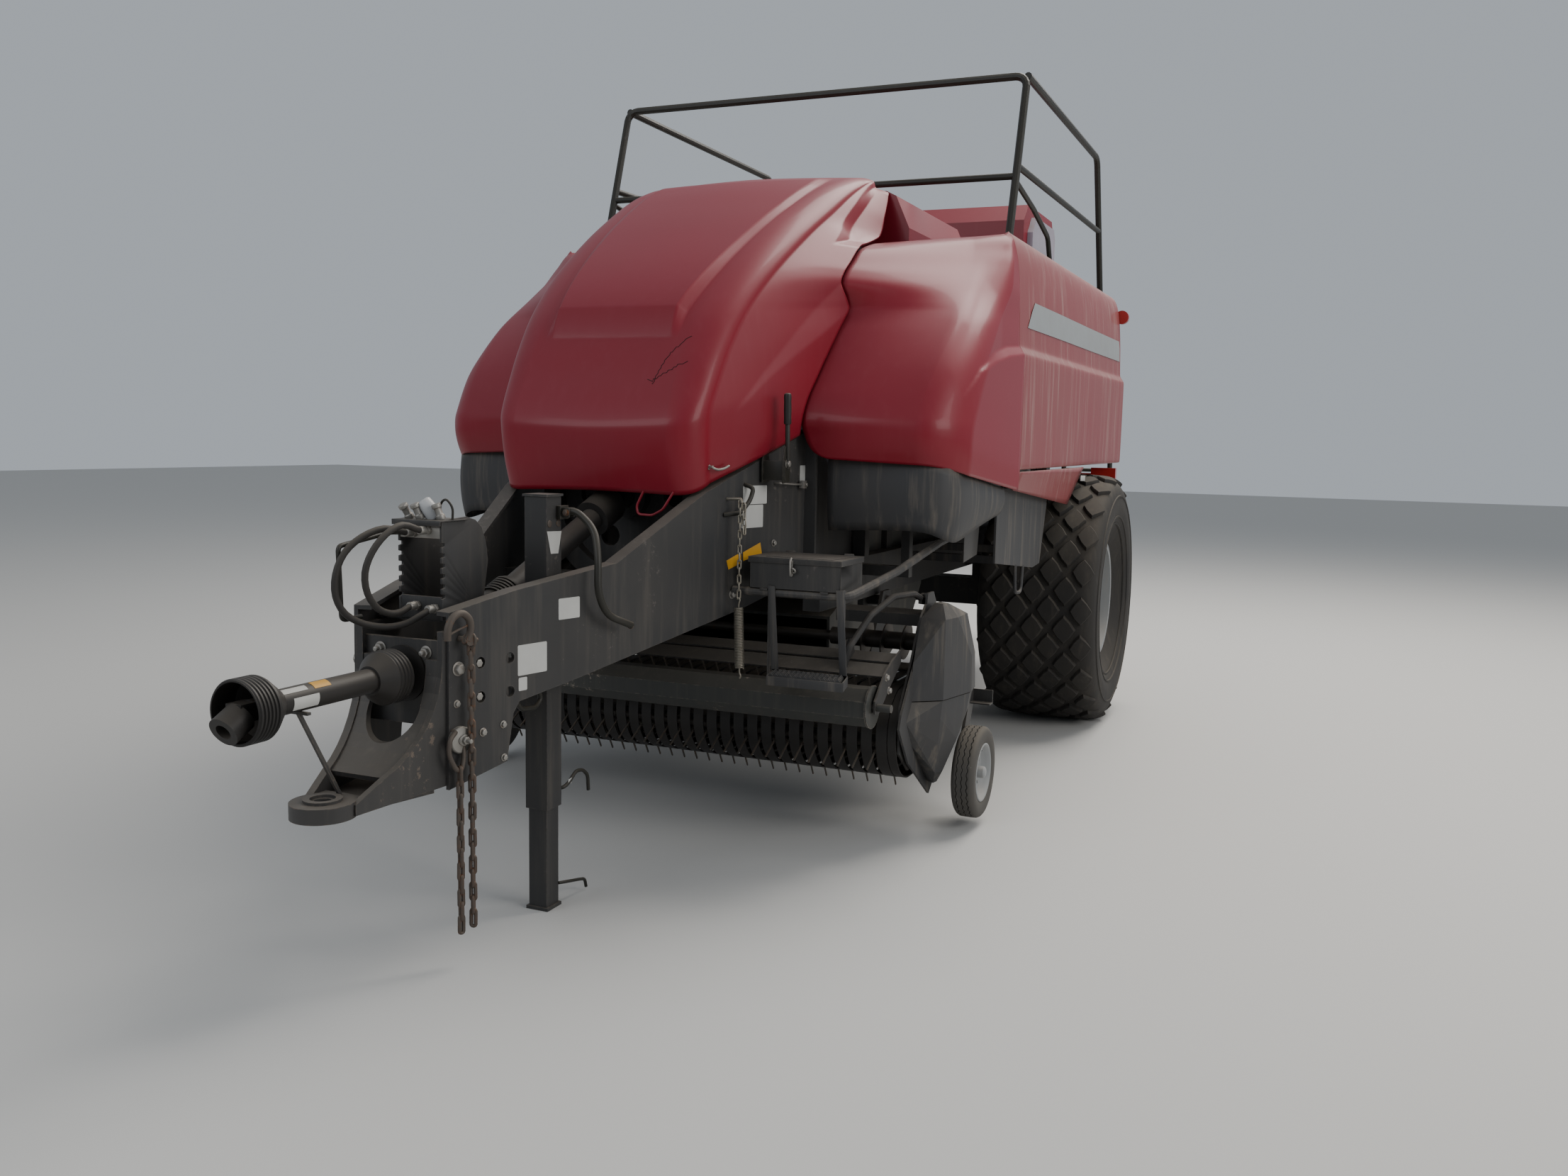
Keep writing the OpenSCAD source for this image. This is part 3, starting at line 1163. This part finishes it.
// The reel: a shaft with four tine bars on spiders, and a row of sprung tines on each bar
module pickup_reel() {
  half = side_x - seat;
  color("#3b3733") {
    translate([-half, reel_y, reel_z]) rotate([0, 90, 0]) cylinder(h = 2 * half, r = 30, $fn = 32);
    for (x = [-reel_half + 10, -10, reel_half - 30])
      translate([x, reel_y, reel_z]) rotate([90, 0, 90]) linear_extrude(20)
        for (a = [20, 110]) rotate(a) square([2 * tine_bar_r, 44], center = true);
    for (a = [20 : 90 : 360])
      translate([-reel_half, reel_y + tine_bar_r * cos(a), reel_z + tine_bar_r * sin(a)])
        rotate([0, 90, 0]) cylinder(h = 2 * reel_half, r = 15, $fn = 24);
    for (i = [0 : band_count - 2])
      translate([-reel_half + (i + 0.5) * band_pitch - 3, reel_y, reel_z])
        rotate([90, 0, 90]) linear_extrude(6)
          for (a = [20 : 90 : 360]) rotate(a)
            polygon([[tine_bar_r - 10, -6], [tine_bar_r + 40, -12], [tine_r, 14], [tine_r - 4, 19],
              [tine_bar_r + 38, -5], [tine_bar_r - 10, 2]]);
  }
}

// Moulded side shields of the pickup: a flange plate, and a faceted body in two parts that
// meet at a level seam. Each body is hulled from level sections of X and Y.
shield_cut = 640;
shield_upper = [
  [1046, [[1192, -2890], [1236, -2914], [1246, -2870], [1200, -2840]]],
  [985, [[1152, -2936], [1262, -2955], [1286, -2850], [1286, -2700], [1152, -2640]]],
  [800, [[1152, -3032], [1264, -2960], [1316, -2712], [1300, -2600], [1152, -2500]]],
  [shield_cut + 1, [[1152, -3044], [1262, -2955], [1318, -2706], [1300, -2580], [1152, -2470]]]];
shield_lower = [
  [shield_cut - 5, [[1152, -3040], [1258, -2950], [1312, -2710], [1292, -2590], [1152, -2470]]],
  [558, [[1152, -3106], [1252, -2952], [1306, -2735], [1285, -2620], [1152, -2480]]],
  [445, [[1152, -3022], [1238, -2930], [1285, -2802], [1258, -2730], [1152, -2520]]],
  [302, [[1152, -2862], [1214, -2880], [1234, -2832], [1152, -2640]]],
  [234, [[1152, -2772], [1184, -2800], [1190, -2764], [1152, -2710]]]];

module pickup_shields() {
  color("#4b4f54")
    both_sides() {
      side_plate([[-3198, 548], [-3172, 606], [-2994, 813], [-2935, 985], [-2870, 1035], [-2640, 1008],
        [-2480, 850], [-2450, 560], [-2580, 300], [-2748, 170], [-3063, 379]], side_x + 20, 10);
      for (rows = [shield_upper, shield_lower])
        hull() for (r = rows) translate([side_x - 1120, 0, r[0] - 0.5]) linear_extrude(1)
          polygon([for (p = r[1]) [p.x == 1152 ? 1149 : p.x, p.y]]);
    }
}

module gauge() {
  r = gauge_d / 2;
  h = gauge_w / 2;
  color("#2a2a2a")
    translate([gauge_x, gauge_y, gauge_z]) rotate([0, 90, 0])
      rotate_extrude($fn = 72)
        polygon([[15 + run, -h + 8], [34, -h + 8], [40, -20], [r * 0.58, -20], [r * 0.6, -h * 0.7], [r * 0.66, -h * 0.92],
          [r * 0.85, -h], [r * 0.97, -h * 0.8], [r, -h * 0.5], [r, h * 0.5], [r * 0.97, h * 0.8], [r * 0.85, h],
          [r * 0.66, h * 0.92], [r * 0.6, h * 0.7], [r * 0.58, 5], [40, 5], [34, h - 8], [15 + run, h - 8]]);
}
module gauge_left() gauge();
module gauge_right() mirror([1, 0, 0]) gauge();

arm_x = side_x - 28;

// Windguard: bent tube arms that turn on the pickup's side plates, a bracket for the roller at
// each end, and the long guide plates between them
module windguard_arms() {
  color("#3f4744") {
    both_sides() {
      difference() {
        side_plate([[roller_y - 24, roller_z - 24], [roller_y + 24, roller_z - 30], [-3200, 712], [-3050, 800],
          [-3048, 858], [-3160, 828], [-3255, 785], [roller_y - 24, roller_z + 28]], arm_x, 8);
        translate([arm_x - 10, roller_y, roller_z]) rotate([0, 90, 0]) cylinder(h = 40, r = 12 + run, $fn = 40);
      }
      pipe([[905, -3215, 788], [930, -3215, 880], [985, -3120, 1005], [1040, -2990, 1072], [1085, -2850, 1074],
        [1095, -2774, 1046]], 14, 40);
      difference() {
        side_plate([[wind_y - 52, wind_z - 16], [wind_y + 8, wind_z - 26], [wind_y + 26, wind_z - 8], [wind_y + 26, wind_z + 8],
          [wind_y + 8, wind_z + 26], [wind_y - 52, wind_z + 22]], arm_x - 4, 14);
        translate([arm_x - 20, wind_y, wind_z]) rotate([0, 90, 0]) cylinder(h = 60, r = 12 + run, $fn = 40);
      }
      // Bracket that stiffens the arm on the guide plates
      side_plate([[-3238, 784], [-3160, 815], [-3090, 840], [-3120, 900], [-3180, 905], [-3232, 850]], 900, 8);
    }
    side_plate([[-3250, 770], [-3170, 806], [-3152, 800], [-3150, 806], [-3170, 813], [-3253, 776]], -arm_x - 1, 2 * arm_x + 2);
    side_plate([[-3140, 812], [-3075, 838], [-3058, 832], [-3056, 838], [-3075, 845], [-3143, 818]], -arm_x - 1, 2 * arm_x + 2);
  }
}

// Eight-sided windguard roller with end discs and journals
module windguard_roller() {
  half = arm_x - 14;
  color("#4a524c")
    translate([0, roller_y, roller_z]) rotate([0, 90, 0]) {
      translate([0, 0, -half]) rotate(22.5) cylinder(h = 2 * half, r = roller_d / 2, $fn = 8);
      for (s = [-1, 1]) translate([0, 0, s * half - 4]) cylinder(h = 8, r = roller_d / 2 + 4, $fn = 64);
      translate([0, 0, -arm_x - 12]) cylinder(h = 2 * arm_x + 24, r = 12, $fn = 40);
      for (s = [-1, 1]) translate([0, 0, s * (arm_x + 39) - 30]) cylinder(h = 60, r = 16, $fn = 40);
    }
}

// Stub augers on one shaft, with a flight at each end that works the crop inward
module stub_augers() {
  half = side_x - seat;
  color("#5a5e60") {
    translate([-half, auger_y, auger_z]) rotate([0, 90, 0]) cylinder(h = 2 * half, r = 22, $fn = 40);
    both_sides()
      translate([600, auger_y, auger_z]) rotate([0, 90, 0]) cylinder(h = side_x - 640, r = 40, $fn = 40);
    both_sides()
      for (k = [0 : 3])
        translate([770 + k * 95, auger_y, auger_z]) rotate([0, 96, 0]) cylinder(h = 6, r = 85, $fn = 48);
  }
}

// Rear lamps on arms from the frame's uprights, and round lamps higher up
module rear_lights() {
  y = door_rear + 40;
  color("#7c1015")
    both_sides() {
      box([1120, y, 1440], [1290, y + 45, 1560]);
      box([rail_x + rail_wide + 75, y + 10, 1480], [1121, y + 35, 1520]);
      box([rail_x + rail_wide + 10, y + 10, 1480], [rail_x + rail_wide + 76, 1340 - 60 - seat, 1520]);
      // Round lamp at the door's upper rear corner, on an arm from the panel frame
      box([outer_x + 10, frame_rear + seat, 2560], [outer_x + 40, y - 14, 2580]);
      box([outer_x + 10, y - 26, 2560], [1290, y - 14, 2590]);
      translate([1286, y - 26, 2597]) rotate([-90, 0, 0]) cylinder(h = 40, r = 46, $fn = 48);
    }
}

module at_axle() {
  translate([0, axle_y, 0]) children();
}

at_axle() tongue_plates();
at_axle() hitch_head();
at_axle() driveline_bearing();
at_axle() pto_shaft();
at_axle() rear_shaft();
at_axle() flywheel();
at_axle() gearbox();
at_axle() main_frame();
at_axle() axle_beam();
at_axle() tyre_left();
at_axle() rim_left();
at_axle() tyre_right();
at_axle() rim_right();
at_axle() bale_chamber();
at_axle() feed_duct();
at_axle() tension_frame();
at_axle() chute();
at_axle() panel_frame();
at_axle() twine_boxes();
at_axle() hood();
at_axle() hood_frame();
at_axle() top_cover();
at_axle() knotter_cover();
at_axle() knotter_ends();
at_axle() platform();
at_axle() shield_left();
at_axle() shield_right();
at_axle() door_left();
at_axle() door_right();
at_axle() skirts();
at_axle() wheel_flaps();
at_axle() guard_rails();
at_axle() ladder();
at_axle() jack_tube();
at_axle() jack_leg();
at_axle() jack_crank();
at_axle() hose_rack();
at_axle() hoses();
at_axle() safety_chain();
at_axle() toolbox();
at_axle() toolbox_lid();
at_axle() step_frame();
at_axle() hand_rail();
at_axle() brake_lever();
at_axle() lift_spring();
at_axle() pickup_frame();
at_axle() pickup_bands();
at_axle() pickup_reel();
at_axle() pickup_shields();
at_axle() gauge_left();
at_axle() gauge_right();
at_axle() windguard_arms();
at_axle() windguard_roller();
at_axle() stub_augers();
at_axle() rear_lights();
